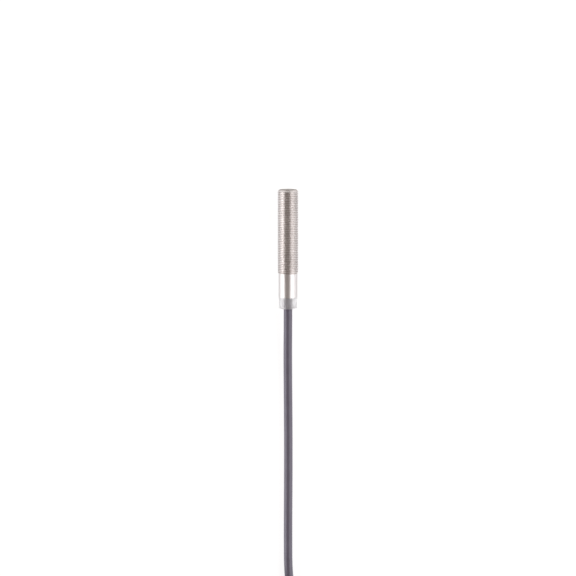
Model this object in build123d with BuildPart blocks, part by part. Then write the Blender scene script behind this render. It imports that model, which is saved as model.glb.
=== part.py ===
"""Inductive proximity sensor, M12 x 1, with a fixed three-wire cable that is stored as a tied hank.

The sensor lies on its side along Y, with its sensing face towards +Y and its cable towards -Y.
The origin is under the middle of the sensor, on the surface that it lies on. Millimetres, +Z up.
"""

from build123d import *
from math import pi, radians, tan
import os

# ---- driving dimensions ----
thread_diameter = 12.0
thread_pitch = 1.0
thread_depth = 0.6134 * thread_pitch
threaded_length = 48.2
front_chamfer = 1.1
rear_chamfer = 0.65
barrel_diameter = 10.7
metal_length = 62.0
bore_radius = 4.7
boot_diameter = 10.2
boot_length = 6.4
boot_corner = 0.7
cable_diameter = 5.0
board_thickness = 0.8
board_width = 8.0
core_wire_diameter = 1.3
fit_gap = 0.02
floor_gap = 0.02

# ---- the hank of spare cable ----
turn_spacing = 5.1
layers = 4
inner_fold = 15.7
outer_fold = inner_fold + turn_spacing
inner_waist = 2.6
outer_waist = inner_waist + turn_spacing
fold_centre = 37.0
hank_near_end = -193.4
strand_x = 3.5
tie_thickness = 1.1
tie_width = 3.6

# ---- places worked out from them ----
thread_radius = thread_diameter / 2
root_radius = thread_radius - thread_depth
barrel_radius = barrel_diameter / 2
cable_radius = cable_diameter / 2
wire_radius = core_wire_diameter / 2
axis_height = thread_radius
front_y = (metal_length + boot_length) / 2
boot_end_y = -front_y
lying_height = cable_radius + floor_gap
strand_allowance = turn_spacing / 2
hank_x = strand_x - outer_fold
hank_y = hank_near_end - outer_fold - strand_allowance - fold_centre
near_fold_y = hank_y + fold_centre
layer_top = turn_spacing * (layers - 1)

sensor_axis = Axis((0, 0, axis_height), (0, 1, 0))
section_plane = Plane(origin=(0, 0, axis_height), x_dir=(0, 1, 0), z_dir=(1, 0, 0))
top_of_board = axis_height + board_thickness / 2
under_board = axis_height - board_thickness / 2

os.makedirs("parts", exist_ok=True)


def back(depth):
    """The place on Y that is this deep behind the sensing face."""
    return front_y - depth


def outline(*points):
    """A closed outline in the plane through the sensor's axis, as (depth behind the face, radius)."""
    with BuildSketch(section_plane) as drawn:
        with BuildLine():
            Polyline(*[(back(depth), radius) for depth, radius in points], close=True)
        make_face()
    return drawn.sketch


def ring(start, end, inside, outside):
    """The outline of a plain ring or disc round the sensor's axis."""
    return outline((start, inside), (start, outside), (end, outside), (end, inside))


def keep(piece, name):
    """Labels a finished piece and writes its STEP file."""
    piece.part.label = name
    export_step(piece.part, f"parts/{name}.step")


# ---- housing: brass tube with an M12 x 1 thread, and a smooth rear barrel ----
# The thread is a row of ring grooves with the real thread's pitch, depth and flank angle.
crest = thread_pitch / 8
root = thread_pitch / 4
flank = (thread_pitch - crest - root) / 2
thread_start = front_chamfer
thread_end = threaded_length - rear_chamfer
groove_count = int((thread_end - thread_start - crest) / thread_pitch)
first_groove = thread_start + (thread_end - thread_start - (groove_count - 1) * thread_pitch) / 2

housing_points = [(0, bore_radius), (0, thread_radius - front_chamfer), (thread_start, thread_radius)]
for number in range(groove_count):
    middle = first_groove + number * thread_pitch
    housing_points += [
        (middle - root / 2 - flank, thread_radius),
        (middle - root / 2, root_radius),
        (middle + root / 2, root_radius),
        (middle + root / 2 + flank, thread_radius),
    ]
barrel_chamfer = 0.2
housing_points += [
    (thread_end, thread_radius),
    (threaded_length, barrel_radius),
    (metal_length - barrel_chamfer, barrel_radius),
    (metal_length, barrel_radius - barrel_chamfer),
    (metal_length, bore_radius),
]

with BuildPart() as housing_sleeve:
    revolve(outline(*housing_points), axis=sensor_axis)
keep(housing_sleeve, "housing_sleeve")

# ---- sensing end ----
cap_radius = bore_radius - fit_gap
cap_face = 0.8
skirt_inside = 4.2
skirt_length = 9.0

with BuildPart() as sensing_face_cap:
    revolve(
        outline((0, 0), (0, cap_radius), (skirt_length, cap_radius), (skirt_length, skirt_inside),
                (cap_face, skirt_inside), (cap_face, 0)),
        axis=sensor_axis,
    )
keep(sensing_face_cap, "sensing_face_cap")

shield_front = 0.9
shield_inside = 3.75
holder_back = 6.4
with BuildPart() as shield_ring:
    revolve(ring(shield_front, holder_back, shield_inside, skirt_inside - 0.05), axis=sensor_axis)
keep(shield_ring, "shield_ring")

pot_radius = 3.68
pot_front = 0.95
pot_back = 3.55
groove_floor = 2.75
post_radius = 1.5
groove_radius = 2.95
post_hole = 0.7
slot_x = 3.2

with BuildPart() as ferrite_core:
    revolve(
        outline((pot_front, post_hole), (pot_front, post_radius), (groove_floor, post_radius),
                (groove_floor, groove_radius), (pot_front, groove_radius), (pot_front, pot_radius),
                (pot_back, pot_radius), (pot_back, post_hole)),
        axis=sensor_axis,
    )
    with BuildSketch(Plane.XZ.offset(-back(pot_front) - 1)):
        with Locations((slot_x, axis_height), (-slot_x, axis_height)):
            Rectangle(1.4, 0.9)
    extrude(amount=pot_back + 2, mode=Mode.SUBTRACT)
keep(ferrite_core, "ferrite_core")

bobbin_front = 1.05
bobbin_back = 2.65
bobbin_flange = 0.25
bobbin_inside = 1.55
bobbin_core = 1.8
bobbin_radius = 2.85
winding_front = bobbin_front + bobbin_flange
winding_back = bobbin_back - bobbin_flange
with BuildPart() as coil_bobbin:
    revolve(
        outline((bobbin_front, bobbin_inside), (bobbin_front, bobbin_radius), (winding_front, bobbin_radius),
                (winding_front, bobbin_core), (winding_back, bobbin_core), (winding_back, bobbin_radius),
                (bobbin_back, bobbin_radius), (bobbin_back, bobbin_inside)),
        axis=sensor_axis,
    )
keep(coil_bobbin, "coil_bobbin")

coil_radius = 2.7
coil_middle = (winding_front + winding_back) / 2
with BuildPart() as sensing_coil:
    revolve(
        ring(winding_front + fit_gap, winding_back - fit_gap, bobbin_core + fit_gap, coil_radius),
        axis=sensor_axis,
    )
keep(sensing_coil, "sensing_coil")

lead_radius = 0.12
with BuildPart() as coil_leads:
    for side in (1, -1):
        with BuildLine() as lead_path:
            FilletPolyline(
                (side * (coil_radius + fit_gap), back(coil_middle), axis_height),
                (side * slot_x, back(coil_middle), axis_height),
                (side * slot_x, back(6.6), axis_height + 0.25),
                (side * 2.6, back(8.7), top_of_board + lead_radius + fit_gap),
                (side * 2.0, back(10.1), top_of_board + lead_radius + fit_gap),
                radius=0.3,
            )
        with BuildSketch(Plane(origin=lead_path.line @ 0, z_dir=lead_path.line % 0)):
            Circle(lead_radius)
        sweep(path=lead_path.line)
keep(coil_leads, "coil_leads")

tongue_width = 4.6
tongue_front = 4.4
board_front = 9.4
with BuildPart() as core_holder:
    revolve(ring(pot_back + 0.05, holder_back, 0, pot_radius), axis=sensor_axis)
    with BuildSketch(Plane.XZ.offset(-back(tongue_front))):
        with Locations((0, axis_height)):
            Rectangle(tongue_width + 0.1, board_thickness + 0.06)
    extrude(amount=holder_back, mode=Mode.SUBTRACT)
    with BuildSketch(Plane.XZ.offset(-back(0))):
        with Locations((slot_x, axis_height), (-slot_x, axis_height)):
            Rectangle(1.1, 1.0)
    extrude(amount=holder_back + 1, mode=Mode.SUBTRACT)
keep(core_holder, "core_holder")

# ---- electronics ----
board_back = 50.4
with BuildPart() as circuit_board:
    with BuildSketch(Plane.XY.offset(under_board)):
        with BuildLine():
            Polyline(
                (-board_width / 2, back(board_back)),
                (board_width / 2, back(board_back)),
                (board_width / 2, back(board_front)),
                (tongue_width / 2, back(board_front)),
                (tongue_width / 2, back(tongue_front)),
                (-tongue_width / 2, back(tongue_front)),
                (-tongue_width / 2, back(board_front)),
                (-board_width / 2, back(board_front)),
                close=True,
            )
        make_face()
    extrude(amount=board_thickness)
keep(circuit_board, "circuit_board")


def board_face(above):
    """The sketch plane on the board's upper or lower face, looking away from the board."""
    if above:
        return Plane(origin=(0, 0, top_of_board), x_dir=(1, 0, 0), z_dir=(0, 0, 1))
    return Plane(origin=(0, 0, under_board), x_dir=(-1, 0, 0), z_dir=(0, 0, -1))


def blocks(places, width, length):
    """Equal rectangles on a face of the board; a place is (x, depth, above)."""
    faces = []
    for x, depth, above in places:
        plane = board_face(above)
        with BuildSketch(plane) as drawn:
            with Locations(plane.to_local_coords(Vector(x, back(depth), plane.origin.Z))):
                Rectangle(width, length)
        faces += drawn.sketch.faces()
    return faces


ic_depth = 17.0
with BuildPart() as sensor_ic:
    extrude(blocks([(0, ic_depth, True)], 3.9, 4.9), amount=1.6)
    chamfer(sensor_ic.faces().sort_by(Axis.Z)[-1].edges(), 0.25)
    pins = [(side * 2.4, ic_depth + step * 1.27, True) for side in (1, -1) for step in (-1.5, -0.5, 0.5, 1.5)]
    extrude(blocks(pins, 1.2, 0.42), amount=0.4)
keep(sensor_ic, "sensor_ic")

transistor_depth = 31.5
with BuildPart() as output_transistor:
    extrude(blocks([(0, transistor_depth, True)], 2.5, 4.5), amount=1.5)
    chamfer(output_transistor.faces().sort_by(Axis.Z)[-1].edges(), 0.2)
    legs = [(1.7, transistor_depth + step * 1.5, True) for step in (-1, 0, 1)]
    extrude(blocks(legs + [(-1.7, transistor_depth, True)], 1.1, 0.5), amount=0.38)
keep(output_transistor, "output_transistor")

regulator_depth = 21.0
with BuildPart() as voltage_regulator:
    extrude(blocks([(0, regulator_depth, False)], 1.6, 2.9), amount=1.1)
    chamfer(voltage_regulator.faces().sort_by(Axis.Z)[0].edges(), 0.15)
    feet = [(1.1, regulator_depth + step * 0.95, False) for step in (-1, 0, 1)]
    feet += [(-1.1, regulator_depth + step * 0.95, False) for step in (-1, 1)]
    extrude(blocks(feet, 0.8, 0.4), amount=0.3)
keep(voltage_regulator, "voltage_regulator")

diode_depth = 38.5
with BuildPart() as polarity_diode:
    extrude(blocks([(0, diode_depth, True)], 2.6, 4.3), amount=2.1)
    chamfer(polarity_diode.faces().sort_by(Axis.Z)[-1].edges(), 0.3)
keep(polarity_diode, "polarity_diode")

suppressor_depth = 38.0
with BuildPart() as surge_suppressor:
    extrude(blocks([(0, suppressor_depth, False)], 3.6, 4.5), amount=2.2)
    chamfer(surge_suppressor.faces().sort_by(Axis.Z)[0].edges(), 0.3)
keep(surge_suppressor, "surge_suppressor")

capacitor_places = [(2.4, 12.2, True), (-2.4, 12.2, True), (0, 24.0, True), (2.2, 26.6, False),
                    (-2.2, 26.6, False), (0, 14.5, False)]
with BuildPart() as capacitors:
    extrude(blocks(capacitor_places, 1.25, 2.0), amount=1.0)
keep(capacitors, "capacitors")

resistor_places = [(0, 12.2, True), (-2.6, 23.0, True), (2.6, 23.0, True), (2.6, 26.0, True),
                   (-2.6, 26.0, True), (0, 27.2, True), (2.4, 17.0, False), (-2.4, 17.0, False),
                   (0, 31.0, False), (2.4, 31.0, False)]
with BuildPart() as resistors:
    extrude(blocks(resistor_places, 0.8, 1.6), amount=0.45)
keep(resistors, "resistors")

led_x = 3.1
led_depth = 49.2
led_places = [(side * led_x, led_depth, above) for above in (True, False) for side in (1, -1)]
with BuildPart() as status_leds:
    extrude(blocks(led_places, 0.8, 1.6), amount=0.7)
keep(status_leds, "status_leds")

film_inside = 4.56
film_front = skirt_length + 0.2
film_back = 52.5
with BuildPart() as insulating_film:
    revolve(ring(film_front, film_back, film_inside, bore_radius - fit_gap), axis=sensor_axis)
keep(insulating_film, "insulating_film")

# ---- cable entry ----
boot_front = 54.0
boot_radius = boot_diameter / 2
spigot_radius = bore_radius - 0.04
cable_hole = cable_radius + fit_gap
overall_depth = metal_length + boot_length
seal_front = 57.6
seal_back = 58.5
seal_floor = 3.95
seal_wire_radius = 0.36
pocket_radius = 3.45
pocket_back = 57.2

with BuildPart() as light_guide_boot:
    revolve(
        outline((boot_front, pocket_radius), (boot_front, spigot_radius), (seal_front, spigot_radius),
                (seal_front, seal_floor), (seal_back, seal_floor), (seal_back, spigot_radius),
                (metal_length + fit_gap, spigot_radius), (metal_length + fit_gap, boot_radius),
                (overall_depth, boot_radius), (overall_depth, cable_hole), (pocket_back, cable_hole),
                (pocket_back, pocket_radius)),
        axis=sensor_axis,
    )
    rim = light_guide_boot.edges().filter_by(GeomType.CIRCLE).group_by(Axis.Y)[0].sort_by(SortBy.RADIUS)[-1]
    fillet(rim, boot_corner)
keep(light_guide_boot, "light_guide_boot")

with BuildPart() as boot_seal_ring:
    with BuildSketch(section_plane):
        with Locations((back((seal_front + seal_back) / 2), seal_floor + seal_wire_radius + fit_gap)):
            Circle(seal_wire_radius)
    revolve(axis=sensor_axis)
keep(boot_seal_ring, "boot_seal_ring")

crimp_front = 54.3
with BuildPart() as cable_crimp_ring:
    revolve(ring(crimp_front, pocket_back - 0.1, cable_hole, pocket_radius - 0.1), axis=sensor_axis)
    fillet(cable_crimp_ring.edges().filter_by(GeomType.CIRCLE), 0.12)
keep(cable_crimp_ring, "cable_crimp_ring")

jacket_end = 53.6
with BuildPart() as cable_inner_stretch:
    revolve(ring(jacket_end, overall_depth, 0, cable_radius), axis=sensor_axis)
keep(cable_inner_stretch, "cable_inner_stretch")

pad_depth = 46.0
core_routes = {
    "core_brown": ((-0.78, 0.45), (-1.6, board_thickness / 2 + wire_radius + fit_gap)),
    "core_blue": ((0.78, 0.45), (1.6, board_thickness / 2 + wire_radius + fit_gap)),
    "core_black": ((0.0, -0.9), (0.0, -board_thickness / 2 - wire_radius - fit_gap)),
}
cores = {}
for core_name, (start, end) in core_routes.items():
    with BuildPart() as core_wire:
        with BuildLine() as core_path:
            FilletPolyline(
                (start[0], back(jacket_end - 0.01), axis_height + start[1]),
                (start[0], back(jacket_end - 0.5), axis_height + start[1]),
                (end[0], back(board_back + 0.4), axis_height + end[1]),
                (end[0], back(pad_depth), axis_height + end[1]),
                radius=0.8,
            )
        with BuildSketch(Plane(origin=core_path.line @ 0, z_dir=core_path.line % 0)):
            Circle(wire_radius)
        sweep(path=core_path.line)
    keep(core_wire, core_name)
    cores[core_name] = core_wire.part

joint_places = [(-1.6, pad_depth - 1.0, True), (1.6, pad_depth - 1.0, True), (0, pad_depth - 1.0, False),
                (2.0, 10.55, True), (-2.0, 10.55, True)]
with BuildPart() as solder_joints:
    for x, depth, above in joint_places[:3]:
        height = 0.9 if above else -0.9
        face = top_of_board if above else under_board
        with BuildSketch(Plane.XY.offset(face)):
            with Locations((x, back(depth))):
                Ellipse(0.75, 0.95)
        with BuildSketch(Plane.XY.offset(face + height)):
            with Locations((x, back(depth))):
                Ellipse(0.3, 0.5)
        loft()
    for x, depth, above in joint_places[3:]:
        with BuildSketch(Plane.XY.offset(top_of_board)):
            with Locations((x, back(depth))):
                Circle(0.42)
        with BuildSketch(Plane.XY.offset(top_of_board + 0.35)):
            with Locations((x, back(depth))):
                Circle(0.2)
        loft()
keep(solder_joints, "solder_joints")

# The resin fills what the parts inside the bore leave free.
potted = [circuit_board, coil_leads, sensor_ic, output_transistor, voltage_regulator, polarity_diode,
          surge_suppressor, capacitors, resistors, status_leds, solder_joints]
with BuildPart() as potting_resin:
    revolve(ring(film_front, jacket_end - 0.05, 0, film_inside - 0.01), axis=sensor_axis)
    for piece in potted:
        add(piece.part, mode=Mode.SUBTRACT)
    for piece in cores.values():
        add(piece, mode=Mode.SUBTRACT)
keep(potting_resin, "potting_resin")

# ---- cable: the stretch that isn't coiled ----
cable_route = [
    (0.0, boot_end_y, axis_height),
    (0.0, -43.5, axis_height),
    (-0.15, -63.0, 3.4),
    (0.05, -88.0, lying_height),
    (0.2, -112.0, lying_height),
    (0.15, -138.0, lying_height),
    (0.0, -165.0, lying_height),
    (0.12, -192.5, lying_height),
    (strand_x, -206.5, lying_height),
    (strand_x, near_fold_y, lying_height),
]


def corner_radii(points):
    """The largest tangent arc at each corner: 0.45 of the shorter run over the tangent of half the turn."""
    radii = []
    for before, corner, after in zip(points, points[1:], points[2:]):
        run_in = Vector(*corner) - Vector(*before)
        run_out = Vector(*after) - Vector(*corner)
        turn = radians(run_in.get_angle(run_out))
        radii.append(0.45 * min(run_in.length, run_out.length) / tan(turn / 2))
    return radii


cable_radii = corner_radii(cable_route)
with BuildPart() as cable_run:
    with BuildLine() as cable_path:
        FilletPolyline(*cable_route, radius=cable_radii)
    with BuildSketch(Plane(origin=cable_path.line @ 0, z_dir=cable_path.line % 0)):
        Circle(cable_radius)
    sweep(path=cable_path.line)
keep(cable_run, "cable_run")
run_length = sum(edge.length for edge in cable_path.edges())
print("cable arc radii, mm:", [round(radius) for radius in cable_radii])
print("cable run, mm:", round(run_length, 2))
print("tube volume over section x length:", round(cable_run.part.volume / (pi * cable_radius**2 * run_length), 5))


# ---- cable: the hank ----
def hank_outline(fold_radius, waist):
    """The plan of a hank whose two sides are drawn together at the middle, seen from above."""
    half_x = (fold_radius + waist) / 2
    half_y = fold_centre / 2
    with BuildSketch(Plane(origin=(hank_x, hank_y, 0))) as drawn:
        with BuildLine():
            for side in (1, -1):
                ThreePointArc((side * half_x, half_y), (side * waist, 0), (side * half_x, -half_y))
                for end in (1, -1):
                    TangentArc(
                        (side * fold_radius, end * fold_centre),
                        (side * half_x, end * half_y),
                        tangent=(0, -end),
                    )
            for end in (1, -1):
                ThreePointArc(
                    (fold_radius, end * fold_centre),
                    (0, end * (fold_centre + fold_radius)),
                    (-fold_radius, end * fold_centre),
                )
        make_face()
        with Locations((0, fold_centre), (0, -fold_centre)):
            Circle(inner_fold - strand_allowance, mode=Mode.SUBTRACT)
    return drawn.sketch


jacket_tip_y = 15.0
with BuildPart() as cable_hank:
    extrude(hank_outline(outer_fold + strand_allowance, outer_waist + strand_allowance), amount=layer_top)
    extrude(
        hank_outline(inner_fold + strand_allowance, inner_waist + strand_allowance),
        amount=layer_top + turn_spacing,
    )
    # the last turn stops where its jacket ends, and the bare wires go on from there
    with BuildSketch(Plane(origin=(hank_x - 15, hank_y + jacket_tip_y + 25, layer_top))):
        Rectangle(30, 50)
    extrude(amount=turn_spacing + 1, mode=Mode.SUBTRACT)
    # the incoming strand's place beside the near fold
    with BuildSketch(Plane(origin=(strand_x - 1.5, near_fold_y + 15, -1))):
        Rectangle(turn_spacing + 3, 30)
    extrude(amount=turn_spacing + 1, mode=Mode.SUBTRACT)
    # the tie passes under the middle
    with BuildSketch(Plane(origin=(hank_x, hank_y, -1))):
        Rectangle(40, tie_width + 1)
    extrude(amount=1 + tie_thickness + 0.25, mode=Mode.SUBTRACT)
keep(cable_hank, "cable_hank")

# ---- the hank's tie: a plastic band with a locking head ----
tie_head_width = 5.6
tie_head_length = 4.8
tie_head_height = 2.6
tie_inside = outer_waist + cable_radius + 0.15
tie_shoulder = inner_waist + cable_radius + 0.2
tie_bottom = tie_thickness + 0.15
tie_side_top = tie_bottom + layer_top - 0.5
tie_top = tie_bottom + layers * turn_spacing + 0.1
tie_plane = Plane(origin=(hank_x, hank_y + tie_width / 2, 0), x_dir=(1, 0, 0), z_dir=(0, -1, 0))
tie_loop = [
    (-tie_inside, tie_bottom),
    (tie_inside, tie_bottom),
    (tie_inside, tie_side_top),
    (tie_shoulder, tie_top),
    (-tie_shoulder, tie_top),
    (-tie_inside, tie_side_top),
]
with BuildPart() as hank_tie:
    with BuildSketch(tie_plane):
        with BuildLine():
            Polyline(*tie_loop, close=True)
        make_face()
        offset(amount=tie_thickness, kind=Kind.ARC)
        with BuildLine():
            Polyline(*tie_loop, close=True)
        make_face(mode=Mode.SUBTRACT)
    extrude(amount=tie_width)
    with BuildSketch(Plane(origin=(hank_x, hank_y, tie_top + tie_thickness))):
        Rectangle(tie_head_width, tie_head_length)
    extrude(amount=tie_head_height)
    fillet(hank_tie.faces().sort_by(Axis.Z)[-1].edges(), 0.6)
keep(hank_tie, "hank_tie")

# ---- the cable's far end: three bare wires with crimped ferrules, lying on the hank ----
lead_height = layer_top + wire_radius + floor_gap
lead_routes = {
    "lead_brown": [(-7.75, 15.35, 1.45), (-9.7, 19.1, 1.3), (-14.8, 26.5, 0), (-19.2, 35.5, 0), (-18.9, 41.5, 0)],
    "lead_black": [(-7.15, 15.65, 2.6), (-8.9, 19.4, 2.5), (-13.4, 28.0, 0.1), (-16.6, 37.5, 0), (-15.2, 45.5, 0)],
    "lead_blue": [(-6.55, 15.95, 1.45), (-8.3, 19.7, 1.3), (-11.4, 28.5, 0), (-14.0, 37.5, 0), (-11.2, 46.5, 0)],
}
ferrule_ends = []
for lead_name, route in lead_routes.items():
    points = [(hank_x + x, hank_y + y, lead_height + up) for x, y, up in route]
    with BuildPart() as lead_wire:
        with BuildLine() as lead_line:
            FilletPolyline(*points, radius=corner_radii(points))
        with BuildSketch(Plane(origin=lead_line.line @ 0, z_dir=lead_line.line % 0)):
            Circle(wire_radius)
        sweep(path=lead_line.line)
    keep(lead_wire, lead_name)
    ferrule_ends.append((lead_line.line @ 1, lead_line.line % 1))

ferrule_collar = 2.2
ferrule_pin = 5.8
ferrule_radius = 0.5
with BuildPart() as lead_ferrules:
    for end, direction in ferrule_ends:
        with BuildSketch(Plane(origin=end + direction * 0.01, z_dir=direction)):
            Circle(wire_radius)
        with BuildSketch(Plane(origin=end + direction * ferrule_collar, z_dir=direction)):
            Circle(ferrule_radius)
        loft()
        with BuildSketch(Plane(origin=end + direction * ferrule_collar, z_dir=direction)):
            Circle(ferrule_radius)
        extrude(amount=ferrule_pin)
keep(lead_ferrules, "lead_ferrules")
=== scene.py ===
"""The looks of an M12 proximity sensor with its cable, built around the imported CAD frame. Metres, +Z up."""

from math import cos, pi, radians, sin, sqrt, tan

import bmesh
import bpy
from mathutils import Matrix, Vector


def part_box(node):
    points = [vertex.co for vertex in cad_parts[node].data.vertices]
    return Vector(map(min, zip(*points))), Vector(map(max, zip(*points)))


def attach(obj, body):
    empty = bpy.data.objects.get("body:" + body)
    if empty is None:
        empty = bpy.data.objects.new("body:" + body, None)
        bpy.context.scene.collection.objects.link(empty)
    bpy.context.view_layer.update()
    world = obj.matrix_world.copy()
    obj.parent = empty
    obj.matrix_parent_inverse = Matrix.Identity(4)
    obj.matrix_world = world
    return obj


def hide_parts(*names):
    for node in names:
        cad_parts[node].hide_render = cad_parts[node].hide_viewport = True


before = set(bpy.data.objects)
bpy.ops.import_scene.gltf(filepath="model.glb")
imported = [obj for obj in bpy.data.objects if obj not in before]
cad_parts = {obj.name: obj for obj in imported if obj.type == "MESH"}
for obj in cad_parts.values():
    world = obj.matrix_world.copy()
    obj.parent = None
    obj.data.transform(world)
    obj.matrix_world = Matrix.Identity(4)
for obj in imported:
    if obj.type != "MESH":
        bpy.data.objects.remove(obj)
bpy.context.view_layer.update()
MM = 0.001
MICRON = 0.000001

# ---- sizes, read from the frame where it has them ----
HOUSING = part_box("housing_sleeve")
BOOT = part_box("light_guide_boot")
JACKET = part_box("cable_inner_stretch")
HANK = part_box("cable_hank")
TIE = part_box("hank_tie")

FACE_Y = HOUSING[1].y
BARREL_END_Y = HOUSING[0].y
BOOT_END_Y = BOOT[0].y
AXIS_Z = (HOUSING[0].z + HOUSING[1].z) / 2
THREAD_R = (HOUSING[1].x - HOUSING[0].x) / 2
CABLE_R = (JACKET[1].x - JACKET[0].x) / 2

# ---- sizes that the frame doesn't hold, as in the CAD source ----
PITCH = 1.0 * MM
THREAD_DEPTH = 0.6134 * PITCH
THREAD_LENGTH = 48.2 * MM
FRONT_CHAMFER = 1.1 * MM
BARREL_R = 5.35 * MM
BORE_R = 4.7 * MM


# ---- small tools ----
def new_mesh(name, verts, faces, smooth_angle=35.0, near=2 * MICRON):
    """A mesh object whose coincident points are one, shaded smooth with sharp edges over the angle."""
    mesh = bpy.data.meshes.new(name)
    mesh.from_pydata([tuple(v) for v in verts], [], faces)
    shape = bmesh.new()
    shape.from_mesh(mesh)
    bmesh.ops.remove_doubles(shape, verts=shape.verts, dist=near)
    bmesh.ops.dissolve_degenerate(shape, edges=shape.edges, dist=near)
    loose = [edge for edge in shape.edges if not edge.link_faces]
    bmesh.ops.delete(shape, geom=loose, context="EDGES")
    bmesh.ops.recalc_face_normals(shape, faces=shape.faces)
    shape.to_mesh(mesh)
    shape.free()
    mesh.shade_smooth()
    mesh.set_sharp_from_angle(angle=radians(smooth_angle))
    piece = bpy.data.objects.new(name, mesh)
    bpy.context.scene.collection.objects.link(piece)
    return piece


def axis_point(depth, radius, angle):
    """A point at this depth behind the sensing face, this far from the sensor's axis."""
    return Vector((radius * sin(angle), FACE_Y - depth, AXIS_Z + radius * cos(angle)))


def rounded(corners, steps=6):
    """A closed outline in metres, from corners in mm as (across, up, corner radius), 0 for a sharp one."""
    points = []
    count = len(corners)
    for i, (across, up, bend) in enumerate(corners):
        here = Vector((across, up)) * MM
        if not bend:
            points.append(here)
            continue
        before = (Vector(corners[i - 1][:2]) * MM - here).normalized()
        after = (Vector(corners[(i + 1) % count][:2]) * MM - here).normalized()
        half = before.angle(after) / 2
        reach = bend * MM / tan(half)
        centre = here + (before + after).normalized() * (bend * MM / sin(half))
        start, end = here + before * reach - centre, here + after * reach - centre
        for k in range(steps + 1):
            points.append(centre + start.slerp(end, k / steps) * bend * MM)
    return points


def lathe(name, profile, around=128, smooth_angle=35.0):
    """A closed profile of (depth, radius) points turned round the sensor's axis."""
    verts, faces = [], []
    rows = len(profile)
    for depth, radius in profile:
        verts += [axis_point(depth, radius, 2 * pi * j / around) for j in range(around)]
    for i in range(rows):
        below = (i + 1) % rows
        for j in range(around):
            k = (j + 1) % around
            faces.append((i * around + j, i * around + k, below * around + k, below * around + j))
    return new_mesh(name, verts, faces, smooth_angle)


# ---- node materials ----
# the colour sockets of a mix node, which has others of the same names
MIX_FIRST, MIX_SECOND, MIX_COLOUR = 6, 7, 2
WHITE = (1.0, 1.0, 1.0, 1.0)
ROUGH_SPREAD = 0.06


class Nodes:
    """A short way to lay out a node material."""

    def __init__(self, name):
        self.material = bpy.data.materials.new(name)
        self.material.use_nodes = True
        self.tree = self.material.node_tree
        self.shader = self.tree.nodes["Principled BSDF"]
        self.object_space = self.add("ShaderNodeTexCoord").outputs["Object"]

    def add(self, kind, **settings):
        node = self.tree.nodes.new(kind)
        for key, value in settings.items():
            setattr(node, key, value)
        return node

    def link(self, source, target):
        self.tree.links.new(source, target)

    def set(self, **values):
        for key, value in values.items():
            self.shader.inputs[key.replace("_", " ")].default_value = value

    def stretched(self, scale):
        mapping = self.add("ShaderNodeMapping")
        mapping.inputs["Scale"].default_value = scale
        self.link(self.object_space, mapping.inputs["Vector"])
        return mapping.outputs["Vector"]

    def noise(self, scale, detail=4.0, rough=0.55, stretch=(1, 1, 1)):
        texture = self.add("ShaderNodeTexNoise")
        texture.inputs["Scale"].default_value = scale
        texture.inputs["Detail"].default_value = detail
        texture.inputs["Roughness"].default_value = rough
        self.link(self.stretched(stretch), texture.inputs["Vector"])
        return texture.outputs["Fac"]

    def vector_math(self, operation, source, other=None):
        node = self.add("ShaderNodeVectorMath", operation=operation)
        self.link(source, node.inputs[0])
        if other is not None:
            node.inputs[1].default_value = other
        return node

    def mix(self, factor, first, second, blend="MIX"):
        """A colour mix; factor and second are each an output or a fixed value."""
        node = self.add("ShaderNodeMix", data_type="RGBA", blend_type=blend)
        self.link(first, node.inputs[MIX_FIRST])
        for socket, value in ((node.inputs["Factor"], factor), (node.inputs[MIX_SECOND], second)):
            if isinstance(value, bpy.types.NodeSocket):
                self.link(value, socket)
            else:
                socket.default_value = value
        return node.outputs[MIX_COLOUR]

    def ramp(self, source, stops):
        ramp = self.add("ShaderNodeValToRGB")
        elements = ramp.color_ramp.elements
        while len(elements) < len(stops):
            elements.new(0.5)
        for element, (place, colour) in zip(elements, stops):
            element.position = place
            element.color = (*colour, 1.0)
        self.link(source, ramp.inputs["Fac"])
        return ramp.outputs["Color"]

    def range(self, source, low, high):
        node = self.add("ShaderNodeMapRange")
        node.inputs["To Min"].default_value = low
        node.inputs["To Max"].default_value = high
        self.link(source, node.inputs["Value"])
        return node.outputs["Result"]

    def bump(self, source, distance, strength=1.0, after=None):
        node = self.add("ShaderNodeBump")
        node.inputs["Distance"].default_value = distance
        node.inputs["Strength"].default_value = strength
        self.link(source, node.inputs["Height"])
        if after is not None:
            self.link(after, node.inputs["Normal"])
        return node.outputs["Normal"]

    def colour(self, output):
        self.link(output, self.shader.inputs["Base Color"])

    def roughness(self, output):
        self.link(output, self.shader.inputs["Roughness"])

    def normal(self, output):
        self.link(output, self.shader.inputs["Normal"])


def painted_groove_shade_and_crest_highlight(m):
    """Painted light on the thread: painted shade in the grooves, and so on the front chamfer and the bore,
    which lie below the root; a painted highlight on the crests; plain white behind the thread.
    """
    from_axis = m.vector_math("SUBTRACT", m.object_space, (0.0, 0.0, AXIS_Z))
    across = m.vector_math("MULTIPLY", from_axis.outputs[0], (1.0, 0.0, 1.0))
    radius = m.vector_math("LENGTH", across.outputs[0]).outputs["Value"]
    height = m.add("ShaderNodeMapRange")
    height.inputs["From Min"].default_value = THREAD_R - THREAD_DEPTH
    height.inputs["From Max"].default_value = THREAD_R
    m.link(radius, height.inputs["Value"])
    # the crest colour, brighter than white, is a painted highlight; the lower stops are painted shade in the
    # grooves
    crest = (1.18, 1.18, 1.18)
    stops = [(0.0, (0.80, 0.765, 0.74)), (0.4, (0.93, 0.91, 0.89)), (0.75, crest), (1.0, crest)]
    thread = m.ramp(height.outputs["Result"], stops)
    place = m.add("ShaderNodeSeparateXYZ")
    m.link(m.object_space, place.inputs[0])
    behind_thread = m.add("ShaderNodeMath", operation="LESS_THAN")
    behind_thread.inputs[1].default_value = FACE_Y - THREAD_LENGTH
    m.link(place.outputs["Y"], behind_thread.inputs[0])
    return m.mix(behind_thread.outputs[0], thread, WHITE)


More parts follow.
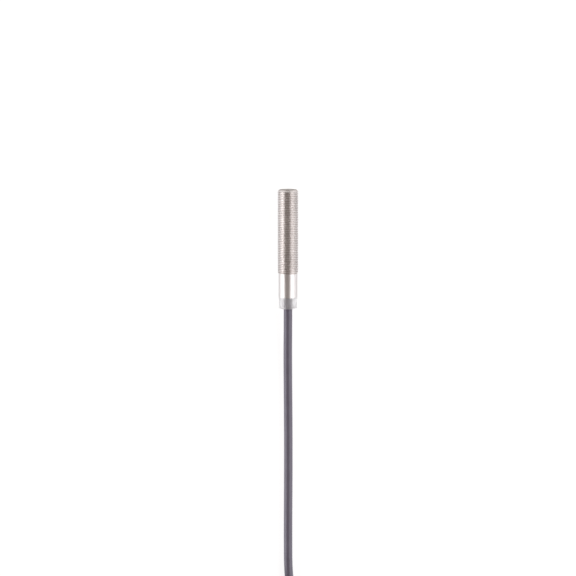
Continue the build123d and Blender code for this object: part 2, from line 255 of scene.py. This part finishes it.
def plated_metal():
    """White-bronze plating on turned brass: warm silver with painted shade in the grooves and a painted
    highlight on the crests, and fine turning lines.
    """
    m = Nodes("plated_metal")
    # the dark specular tint is painted shade: it darkens the metal's reflections towards its rims
    m.set(Metallic=1.0, IOR=2.0, Specular_Tint=(0.44, 0.42, 0.41, 1.0))
    plate = m.ramp(m.noise(90.0, detail=3.0), [(0.3, (0.79, 0.77, 0.775)), (0.7, (0.85, 0.83, 0.835))])
    m.colour(m.mix(1.0, plate, painted_groove_shade_and_crest_highlight(m), blend="MULTIPLY"))
    m.roughness(m.range(m.noise(260.0, detail=5.0), 0.30, 0.40))
    turning_lines = m.noise(1.0, detail=5.0, rough=0.7, stretch=(150, 9000, 150))
    m.normal(m.bump(turning_lines, 1.2 * MICRON, 0.6))
    return m.material


def moulded(name, dark, light, rough, grain=900.0, depth=6 * MICRON):
    """A moulded or cast material with a slight mottle and a fine surface grain."""
    m = Nodes(name)
    m.colour(m.ramp(m.noise(220.0, detail=4.0), [(0.3, dark), (0.7, light)]))
    m.roughness(m.range(m.noise(500.0), rough - ROUGH_SPREAD, rough + ROUGH_SPREAD))
    m.normal(m.bump(m.noise(grain, detail=3.0), depth, 0.5))
    return m


def cable_jacket():
    """Dark grey satin jacket with a faint fine grain."""
    m = Nodes("cable_jacket")
    m.set(Specular_IOR_Level=1.0, Specular_Tint=(0.88, 0.88, 1.0, 1.0))
    m.colour(m.ramp(m.noise(140.0, detail=4.0), [(0.3, (0.112, 0.100, 0.136)), (0.7, (0.132, 0.119, 0.158))]))
    m.roughness(m.range(m.noise(700.0, detail=4.0), 0.32, 0.40))
    m.normal(m.bump(m.noise(1600.0, detail=3.0), 8 * MICRON, 0.5))
    return m.material


def clear_boot():
    """Milky clear moulded plastic."""
    m = Nodes("clear_boot")
    m.set(Transmission_Weight=0.82, IOR=1.50)
    m.colour(m.ramp(m.noise(160.0, detail=3.0), [(0.3, (0.95, 0.945, 0.965)), (0.7, (0.98, 0.975, 0.99))]))
    m.roughness(m.range(m.noise(500.0), 0.26, 0.34))
    m.normal(m.bump(m.noise(1200.0, detail=3.0), 6 * MICRON, 0.4))
    return m.material


# ---- camera ----
LOOK_AT = Vector((0.0, FACE_Y - 56.6 * MM, AXIS_Z))
CAMERA_DISTANCE = 1.6
CAMERA_TILT = radians(7.0)
PICTURE_WIDTH = 330.0 * MM
SENSOR_WIDTH = 36.0

camera_data = bpy.data.cameras.new("camera")
camera_data.sensor_width = SENSOR_WIDTH
camera_data.sensor_fit = "HORIZONTAL"
camera_data.lens = SENSOR_WIDTH * CAMERA_DISTANCE / PICTURE_WIDTH
camera_data.clip_start = 0.01
camera = bpy.data.objects.new("camera", camera_data)
camera.location = LOOK_AT + CAMERA_DISTANCE * Vector((0.0, sin(CAMERA_TILT), cos(CAMERA_TILT)))
camera.rotation_euler = (-CAMERA_TILT, 0.0, 0.0)
bpy.context.scene.collection.objects.link(camera)
bpy.context.scene.camera = camera

# ---- cable: the stretch that isn't coiled, as in the CAD source ----
LYING_Z = CABLE_R + 0.02 * MM
TURN = 5.1 * MM
INNER_FOLD = 15.7 * MM
OUTER_FOLD = INNER_FOLD + TURN
INNER_WAIST = 2.6 * MM
OUTER_WAIST = INNER_WAIST + TURN
HANK_X = (HANK[0].x + HANK[1].x) / 2
HANK_Y = (HANK[0].y + HANK[1].y) / 2
FOLD_CENTRE = (HANK[1].y - HANK[0].y) / 2 - OUTER_FOLD - TURN / 2
STRAND_X = HANK_X + OUTER_FOLD
NEAR_FOLD_Y = HANK_Y + FOLD_CENTRE

cable_route = [
    (0.0, BOOT_END_Y, AXIS_Z),
    (0.0, -0.0435, AXIS_Z),
    (-0.00015, -0.063, 0.0034),
    (0.00005, -0.088, LYING_Z),
    (0.0002, -0.112, LYING_Z),
    (0.00015, -0.138, LYING_Z),
    (0.0, -0.165, LYING_Z),
    (0.00012, -0.1925, LYING_Z),
    (STRAND_X, -0.2065, LYING_Z),
    (STRAND_X, NEAR_FOLD_Y, LYING_Z),
]

# ---- cable: the hank's seven turns as (fold radius, waist, layer), wound outside first and upwards ----
OUTER, INNER = (OUTER_FOLD, OUTER_WAIST), (INNER_FOLD, INNER_WAIST)
tracks = [(*OUTER, 0), (*INNER, 0), (*INNER, 1), (*OUTER, 1), (*OUTER, 2), (*INNER, 2), (*INNER, 3)]
SIDE_POINTS = 9
FOLD_POINTS = 6
# shares of a fold: where a strand leaves its track, how long it takes, and how much later a lower turn does
CHANGE_START = 0.2
CHANGE_TIME = 0.45
CHANGE_LAG = 0.07
JACKET_TIP_Y = 15.0 * MM
LAST_POINT_GAP = 3.0 * MM
# how high the tie's band holds a strand, near the waist's middle and a little further along
TIE_LIFT = 1.3 * MM
LIFTS = ((0.1, 1.08 * TIE_LIFT), (0.3, 0.7 * TIE_LIFT))


def side_x(fold, waist, y):
    """How far a strand of the hank's side is from its middle line."""
    return waist + (fold - waist) * (1 - cos(pi * min(abs(y) / FOLD_CENTRE, 1.0))) / 2


def lift(y):
    """How far the tie under the waist holds the strands up."""
    for reach, height in LIFTS:
        if abs(y) / FOLD_CENTRE < reach:
            return height
    return 0.0


def layer_z(layer):
    return LYING_Z + layer * TURN


def side_points(fold, waist, layer, side, heading, stop_y=None):
    """The strand from one fold to the other: side is the sign of x, and heading the sign of its run in y."""
    points = []
    for k in range(SIDE_POINTS):
        y = heading * ((2 * k + 1) / SIDE_POINTS - 1) * FOLD_CENTRE
        if stop_y is not None and y > stop_y - LAST_POINT_GAP:
            break
        points.append((HANK_X + side * side_x(fold, waist, y), HANK_Y + y, layer_z(layer) + lift(y)))
    return points


def fold_points(start, end, place, lag):
    """Half a turn round the hank's end at this sign of y, from one track's place to another's."""
    points = []
    widen = 1 / cos(pi / FOLD_POINTS / 2)
    for k in range(FOLD_POINTS):
        share = (k + 0.5) / FOLD_POINTS
        moved = min(max((share - lag) / CHANGE_TIME, 0.0), 1.0)
        moved = (1 - cos(pi * moved)) / 2
        fold = (start[0] + (end[0] - start[0]) * moved) * widen
        layer = start[2] + (end[2] - start[2]) * moved
        angle = pi * share
        x = -place * fold * cos(angle)
        y = place * (FOLD_CENTRE + fold * sin(angle))
        points.append((HANK_X + x, HANK_Y + y, layer_z(layer)))
    return points


hank_points = []
last = len(tracks) - 1
for number, track in enumerate(tracks):
    fold, waist, layer = track
    hank_points += side_points(fold, waist, layer, side=1, heading=-1)
    hank_points += fold_points(track, track, place=-1, lag=0.0)
    if number < last:
        hank_points += side_points(fold, waist, layer, side=-1, heading=1)
        lag = CHANGE_START + (last - 1 - number) * CHANGE_LAG
        hank_points += fold_points(track, tracks[number + 1], place=1, lag=lag)
    else:
        hank_points += side_points(fold, waist, layer, side=-1, heading=1, stop_y=JACKET_TIP_Y)
        tip = (HANK_X - side_x(fold, waist, JACKET_TIP_Y), HANK_Y + JACKET_TIP_Y, layer_z(layer))
        hank_points.append(tip)


def tube(name, points, radius, sides=6, smooth=8):
    """A round cord along one open NURBS spline of these control points."""
    curve = bpy.data.curves.new(name, "CURVE")
    curve.dimensions = "3D"
    curve.resolution_u = smooth
    curve.bevel_depth = radius
    curve.bevel_resolution = sides
    curve.use_fill_caps = True
    spline = curve.splines.new("NURBS")
    spline.points.add(len(points) - 1)
    for place, (x, y, z) in zip(spline.points, points):
        place.co = (x, y, z, 1.0)
    spline.order_u = 3
    spline.use_endpoint_u = True
    piece = bpy.data.objects.new(name, curve)
    bpy.context.scene.collection.objects.link(piece)
    return piece


# ---- the hank's tie: a band round the waist, its head, and the band's trimmed end in the head's slot ----
TIE_BAND = 1.1 * MM
TIE_HEAD = 2.6 * MM
TIE_EDGE = 0.15 * MM
TIE_HALF = 1.8 * MM
HEAD_HALF_X = 2.8 * MM
HEAD_HALF_Y = 2.4 * MM
SLOT_HALF_X = 1.0 * MM
SLOT_DEPTH = 1.5 * MM
SLOT_GAP = 0.1 * MM
END_DROP = 0.3 * MM
OVERLAP = 0.1 * MM
LOWER_LAYERS = 3


def tie_band():
    """The band as (verts, faces): a flat section with broken edges, carried round the strands."""
    # the outline is in mm: wide round the lower layers of two strands a side, narrow round the upper one
    bend, shoulder_bend = 2.6, 3.2
    wide_slack, narrow_slack, shoulder_drop = 0.15, 0.2, 0.5
    wide = (OUTER_WAIST + CABLE_R) / MM + wide_slack
    narrow = (INNER_WAIST + CABLE_R) / MM + narrow_slack
    bottom = (TIE[0].z + TIE_BAND) / MM
    top = (TIE[1].z - TIE_HEAD - TIE_BAND) / MM
    shoulder = bottom + LOWER_LAYERS * TURN / MM - shoulder_drop
    loop = rounded([
        (-wide, bottom, bend), (wide, bottom, bend), (wide, shoulder, shoulder_bend),
        (narrow, top, bend), (-narrow, top, bend), (-wide, shoulder, shoulder_bend),
    ])
    flat, outer = TIE_HALF - TIE_EDGE, TIE_BAND - TIE_EDGE
    section = [
        (0.0, -flat), (0.0, flat), (TIE_EDGE, TIE_HALF), (outer, TIE_HALF),
        (TIE_BAND, flat), (TIE_BAND, -flat), (outer, -TIE_HALF), (TIE_EDGE, -TIE_HALF),
    ]
    verts, faces = [], []
    count, sides = len(loop), len(section)
    for i, here in enumerate(loop):
        run = (here - loop[i - 1]).normalized() + (loop[(i + 1) % count] - here).normalized()
        out = Vector((run.y, -run.x)).normalized()
        for raised, across in section:
            place = here + out * raised
            verts.append((HANK_X + place.x, HANK_Y + across, place.y))
    for i in range(count):
        after = (i + 1) % count
        for j in range(sides):
            k = (j + 1) % sides
            faces.append((i * sides + j, i * sides + k, after * sides + k, after * sides + j))
    return verts, faces


def stack(rings, bend=0.5 * MM, steps=3):
    """A closed solid from rounded rectangles (half x, half y, z) one after another, capped at both ends."""
    corners = ((1, 1), (-1, 1), (-1, -1), (1, -1))
    most_of_half = 0.6
    verts, faces = [], []
    for half_x, half_y, z in rings:
        arc = min(bend, half_x * most_of_half, half_y * most_of_half)
        for number, (sign_x, sign_y) in enumerate(corners):
            for k in range(steps + 1):
                angle = pi / 2 * (number + k / steps)
                x = sign_x * (half_x - arc) + arc * cos(angle)
                y = sign_y * (half_y - arc) + arc * sin(angle)
                verts.append((HANK_X + x, HANK_Y + y, z))
    around = len(corners) * (steps + 1)
    for i in range(len(rings) - 1):
        for j in range(around):
            k = (j + 1) % around
            faces.append((i * around + j, i * around + k, (i + 1) * around + k, (i + 1) * around + j))
    faces.append(tuple(range(around)))
    faces.append(tuple(range((len(rings) - 1) * around, len(rings) * around)))
    return verts, faces


def tie_shape():
    """The band, the head with its slot, and the band's end in the slot, as one mesh's points and faces."""
    verts, faces = tie_band()
    top = TIE[1].z
    slot_floor = top - SLOT_DEPTH
    slot_y = TIE_HALF + SLOT_GAP
    edge_x, edge_y, edge_z = 0.12 * MM, 0.1 * MM, 0.1 * MM
    soft_x, soft_y, soft_z = 0.35 * MM, 0.25 * MM, 0.35 * MM
    head = [
        (HEAD_HALF_X, HEAD_HALF_Y, top - TIE_HEAD - OVERLAP),
        (HEAD_HALF_X, HEAD_HALF_Y, top - soft_z),
        (HEAD_HALF_X - edge_x, HEAD_HALF_Y - edge_y, top - edge_z),
        (HEAD_HALF_X - soft_x, HEAD_HALF_Y - soft_y, top),
        (SLOT_HALF_X, slot_y, top),
        (SLOT_HALF_X, slot_y, slot_floor),
    ]
    end_y = TIE_HALF - SLOT_GAP
    band_end = [
        (TIE_BAND / 2, end_y, slot_floor - OVERLAP),
        (TIE_BAND / 2, end_y, top - END_DROP),
    ]
    for more_verts, more_faces in (stack(head), stack(band_end)):
        first = len(verts)
        verts += more_verts
        faces += [tuple(first + i for i in face) for face in more_faces]
    return verts, faces


tie = new_mesh("cable_tie", *tie_shape())
tie_look = moulded("tie_plastic", (0.02, 0.02, 0.02), (0.035, 0.035, 0.035), 0.4)
tie.data.materials.append(tie_look.material)
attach(tie, "root")
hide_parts("hank_tie")

cable = tube("cable", cable_route + hank_points, CABLE_R)
jacket_material = cable_jacket()
cable.data.materials.append(jacket_material)
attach(cable, "root")
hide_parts("cable_run", "cable_hank")

# ---- housing: true helical thread, smooth barrel, bore ----
AROUND = 144


def thread_profile():
    """One pitch of the thread as (place along it, radius): flat crest, 60 degree flanks, rounded root."""
    crest_end = PITCH / 16
    edge, edge_slope = 0.03 * PITCH, 0.35
    edge_r = THREAD_R - edge * edge_slope
    flank_run = 0.12 * PITCH
    flank = crest_end + flank_run
    flank_r = THREAD_R - flank_run * sqrt(3)
    root_half = PITCH / 8
    root = PITCH / 2
    root_r = THREAD_R - THREAD_DEPTH
    root_rise = root_half / sqrt(3)
    shallow_r, deep_r = root_r - 0.10 * root_rise, root_r - 0.14 * root_rise
    return [
        (-crest_end, edge_r),
        (edge - crest_end, THREAD_R),
        (crest_end - edge, THREAD_R),
        (crest_end, edge_r),
        (flank, flank_r),
        (root - root_half, root_r),
        (root - root_half / 2, shallow_r),
        (root, deep_r),
        (root + root_half / 2, shallow_r),
        (root + root_half, root_r),
        (PITCH - flank, flank_r),
    ]


def envelope(depth):
    """The radius that the two end chamfers leave at this depth."""
    front = THREAD_R - FRONT_CHAMFER + depth
    rear = BARREL_R + (THREAD_LENGTH - depth)
    return min(THREAD_R, front, rear)


def barrel_rings():
    """The tube behind the thread as (depth, radius): barrel, rounded end, bore and front edge."""
    end = FACE_Y - BARREL_END_Y
    round_run, round_drop = 0.2 * MM, 0.14 * MM
    middle_run, middle_drop = 0.08 * MM, 0.04 * MM
    rear_break = 0.08 * MM
    front_run, front_rise = 0.06 * MM, 0.05 * MM
    return [
        (THREAD_LENGTH, BARREL_R),
        (end - round_run, BARREL_R),
        (end - middle_run, BARREL_R - middle_drop),
        (end, BARREL_R - round_drop),
        (end, BORE_R + rear_break),
        (end - rear_break, BORE_R),
        (front_run, BORE_R),
        (0.0, BORE_R + front_rise),
        (0.0, THREAD_R - FRONT_CHAMFER),
    ]


def housing():
    """The tube's mesh: rows that follow the helix, then rings for the barrel and the bore."""
    profile = thread_profile()
    per_turn = len(profile)
    turns = int(THREAD_LENGTH / PITCH) + 3
    verts, faces = [], []
    for turn in range(-1, turns):
        for offset, radius in profile:
            for j in range(AROUND):
                depth = min(max((turn + j / AROUND) * PITCH + offset, 0.0), THREAD_LENGTH)
                verts.append(axis_point(depth, min(radius, envelope(depth)), 2 * pi * j / AROUND))
    rows = (turns + 1) * per_turn
    for i in range(rows - 1):
        for j in range(AROUND - 1):
            a, b = i * AROUND + j, (i + 1) * AROUND + j
            faces.append((a, a + 1, b + 1, b))
        # once round, a row runs on into the row one turn further along
        after, beyond = i + per_turn, i + per_turn + 1
        if beyond < rows:
            faces.append(((i + 1) * AROUND - 1, after * AROUND, beyond * AROUND, (i + 2) * AROUND - 1))
    rings = barrel_rings()
    first = len(verts)
    for depth, radius in rings:
        verts += [axis_point(depth, radius, 2 * pi * j / AROUND) for j in range(AROUND)]
    for i in range(len(rings) - 1):
        a, b = first + i * AROUND, first + (i + 1) * AROUND
        for j in range(AROUND):
            k = (j + 1) % AROUND
            faces.append((a + j, a + k, b + k, b + j))
    return verts, faces


barrel = new_mesh("threaded_barrel", *housing())
barrel.data.materials.append(plated_metal())
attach(barrel, "root")
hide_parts("housing_sleeve")

# ---- boot and the jacket inside it: outlines in mm, as (depth, radius, corner radius) ----
SPIGOT_TIP, BOOT_FRONT, BOOT_REAR = 54.0, 62.02, 68.4
GROOVE_FRONT, GROOVE_REAR, CAVITY_END = 57.6, 58.5, 57.2
SPIGOT_R, GROOVE_R, BOOT_R, CAVITY_R, CABLE_HOLE_R = 4.66, 3.95, 5.1, 3.45, 2.53
boot = lathe("clear_boot", rounded([
    (SPIGOT_TIP, CAVITY_R, 0.1),
    (SPIGOT_TIP, SPIGOT_R, 0.25),
    (GROOVE_FRONT, SPIGOT_R, 0.08),
    (GROOVE_FRONT, GROOVE_R, 0.0),
    (GROOVE_REAR, GROOVE_R, 0.0),
    (GROOVE_REAR, SPIGOT_R, 0.08),
    (BOOT_FRONT, SPIGOT_R, 0.0),
    (BOOT_FRONT, BOOT_R, 0.12),
    (BOOT_REAR, BOOT_R, 0.75),
    (BOOT_REAR, CABLE_HOLE_R, 0.12),
    (CAVITY_END, CABLE_HOLE_R, 0.0),
    (CAVITY_END, CAVITY_R, 0.0),
]))
boot.data.materials.append(clear_boot())
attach(boot, "root")
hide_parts("light_guide_boot")

JACKET_FRONT, JACKET_REAR, JACKET_R = 53.6, 68.42, 2.5
inner_jacket = lathe("inner_jacket", rounded([
    (JACKET_FRONT, 0.0, 0.0),
    (JACKET_FRONT, JACKET_R, 0.1),
    (JACKET_REAR, JACKET_R, 0.0),
    (JACKET_REAR, 0.0, 0.0),
]))
inner_jacket.data.materials.append(jacket_material)
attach(inner_jacket, "root")
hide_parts("cable_inner_stretch")


# ---- finishes of the CAD nodes that stay ----
def metal_finish(name, dark, light, rough):
    """Bare or plated metal with a faint cloudiness."""
    m = moulded(name, dark, light, rough, grain=2400.0, depth=2 * MICRON)
    m.set(Metallic=1.0)
    return m.material


def plastic(name, dark, light, rough):
    return moulded(name, dark, light, rough).material


def wound_copper():
    """Enamelled copper wire wound in close turns round the sensor's axis."""
    m = moulded("enamelled_copper", (0.42, 0.13, 0.05), (0.56, 0.20, 0.08), 0.3)
    m.set(Metallic=0.9, Coat_Weight=0.4)
    turns = m.add("ShaderNodeTexWave", wave_type="BANDS", bands_direction="Y")
    turns.inputs["Scale"].default_value = 1400.0
    turns.inputs["Distortion"].default_value = 0.6
    m.link(m.object_space, turns.inputs["Vector"])
    m.normal(m.bump(turns.outputs["Fac"], 30 * MICRON, 0.6))
    return m.material


def board_laminate():
    """Green solder mask with the weave of the glass cloth just showing."""
    m = moulded("board_laminate", (0.015, 0.12, 0.05), (0.03, 0.17, 0.07), 0.35)
    weave = m.add("ShaderNodeTexWave", wave_type="BANDS", bands_direction="DIAGONAL")
    weave.inputs["Scale"].default_value = 500.0
    m.link(m.object_space, weave.inputs["Vector"])
    m.normal(m.bump(weave.outputs["Fac"], 10 * MICRON, 0.4))
    return m.material


def clear_film():
    m = moulded("clear_film", (0.80, 0.62, 0.30), (0.86, 0.68, 0.36), 0.2)
    m.set(Transmission_Weight=0.6, IOR=1.6)
    return m.material


def finish_nodes(material, *names):
    for name in names:
        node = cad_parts[name]
        node.data.materials.clear()
        node.data.materials.append(material)


CHIPS = ("sensor_ic", "voltage_regulator", "output_transistor", "polarity_diode", "surge_suppressor")
BRASS_NODES = ("shield_ring", "cable_crimp_ring")
# how each is made, its name, its dark and light colours, its roughness, and its nodes
FINISHES = (
    (plastic, "face_plastic", (0.265, 0.238, 0.215), (0.31, 0.278, 0.25), 0.5, "sensing_face_cap"),
    (plastic, "white_plastic", (0.78, 0.77, 0.73), (0.86, 0.85, 0.81), 0.45, "coil_bobbin", "core_holder"),
    (plastic, "chip_epoxy", (0.03, 0.03, 0.033), (0.05, 0.05, 0.055), 0.5, *CHIPS),
    (plastic, "ferrite", (0.035, 0.034, 0.036), (0.06, 0.058, 0.06), 0.55, "ferrite_core"),
    (metal_finish, "bare_brass", (0.72, 0.52, 0.24), (0.82, 0.62, 0.32), 0.32, *BRASS_NODES),
    (plastic, "capacitor_ceramic", (0.50, 0.38, 0.24), (0.60, 0.46, 0.30), 0.45, "capacitors"),
    (plastic, "resistor_ceramic", (0.04, 0.04, 0.045), (0.08, 0.08, 0.085), 0.4, "resistors"),
    (plastic, "led_yellow", (0.80, 0.62, 0.18), (0.90, 0.74, 0.30), 0.25, "status_leds"),
    (metal_finish, "solder", (0.62, 0.62, 0.62), (0.76, 0.76, 0.76), 0.28, "solder_joints"),
    (plastic, "potting_resin", (0.05, 0.05, 0.052), (0.08, 0.08, 0.082), 0.4, "potting_resin"),
    (plastic, "seal_rubber", (0.02, 0.02, 0.021), (0.035, 0.035, 0.036), 0.6, "boot_seal_ring"),
    (plastic, "wire_brown", (0.17, 0.075, 0.04), (0.21, 0.10, 0.055), 0.4, "lead_brown", "core_brown"),
    (plastic, "wire_blue", (0.03, 0.12, 0.42), (0.05, 0.16, 0.50), 0.4, "lead_blue", "core_blue"),
    (plastic, "wire_black", (0.015, 0.015, 0.017), (0.03, 0.03, 0.032), 0.4, "lead_black", "core_black"),
    (metal_finish, "tinned_copper", (0.66, 0.66, 0.66), (0.80, 0.80, 0.80), 0.25, "lead_ferrules"),
)
for finish, name, dark, light, rough, *nodes in FINISHES:
    finish_nodes(finish(name, dark, light, rough), *nodes)
finish_nodes(wound_copper(), "sensing_coil", "coil_leads")
finish_nodes(board_laminate(), "circuit_board")
finish_nodes(clear_film(), "insulating_film")

# ---- floor, light ----
FLOOR_HALF = 4.0
FLOOR_CORNERS = ((-1, -1), (1, -1), (1, 1), (-1, 1))
floor = new_mesh("floor", [(x * FLOOR_HALF, y * FLOOR_HALF, 0) for x, y in FLOOR_CORNERS], [(0, 1, 2, 3)])
floor_look = Nodes("floor")
floor_look.set(Base_Color=(0.3, 0.3, 0.3, 1.0), Roughness=0.9, Specular_IOR_Level=0.0)
floor_look.set(Emission_Color=WHITE, Emission_Strength=0.85)
floor.data.materials.append(floor_look.material)

LIGHT_DISTANCE = 0.9
LIGHT_LENGTH = 2.0


def softbox(name, low, high, side, radiance):
    """A long area light beside the sensor, between two angles off vertical, on the side of this sign of x."""
    middle, half = radians((low + high) / 2), radians((high - low) / 2)
    width = 2 * LIGHT_DISTANCE * tan(half)
    light = bpy.data.lights.new(name, "AREA")
    light.shape = "RECTANGLE"
    light.size = width
    light.size_y = LIGHT_LENGTH
    light.energy = radiance * pi * width * LIGHT_LENGTH
    lamp = bpy.data.objects.new(name, light)
    out, up = LIGHT_DISTANCE * sin(middle), LIGHT_DISTANCE * cos(middle)
    lamp.location = (side * out, LOOK_AT.y, AXIS_Z + up)
    lamp.rotation_euler = (0.0, side * middle, 0.0)
    bpy.context.scene.collection.objects.link(lamp)


softbox("left_softbox", low=50.0, high=89.0, side=-1, radiance=2.08)
softbox("right_softbox", low=30.0, high=84.0, side=1, radiance=1.42)

world = bpy.data.worlds.new("world")
world.use_nodes = True
sky = world.node_tree.nodes["Background"]
sky.inputs["Color"].default_value = (1.0, 0.85, 0.77, 1.0)
sky.inputs["Strength"].default_value = 0.25
bpy.context.scene.world = world
bpy.context.scene.view_settings.view_transform = "Standard"
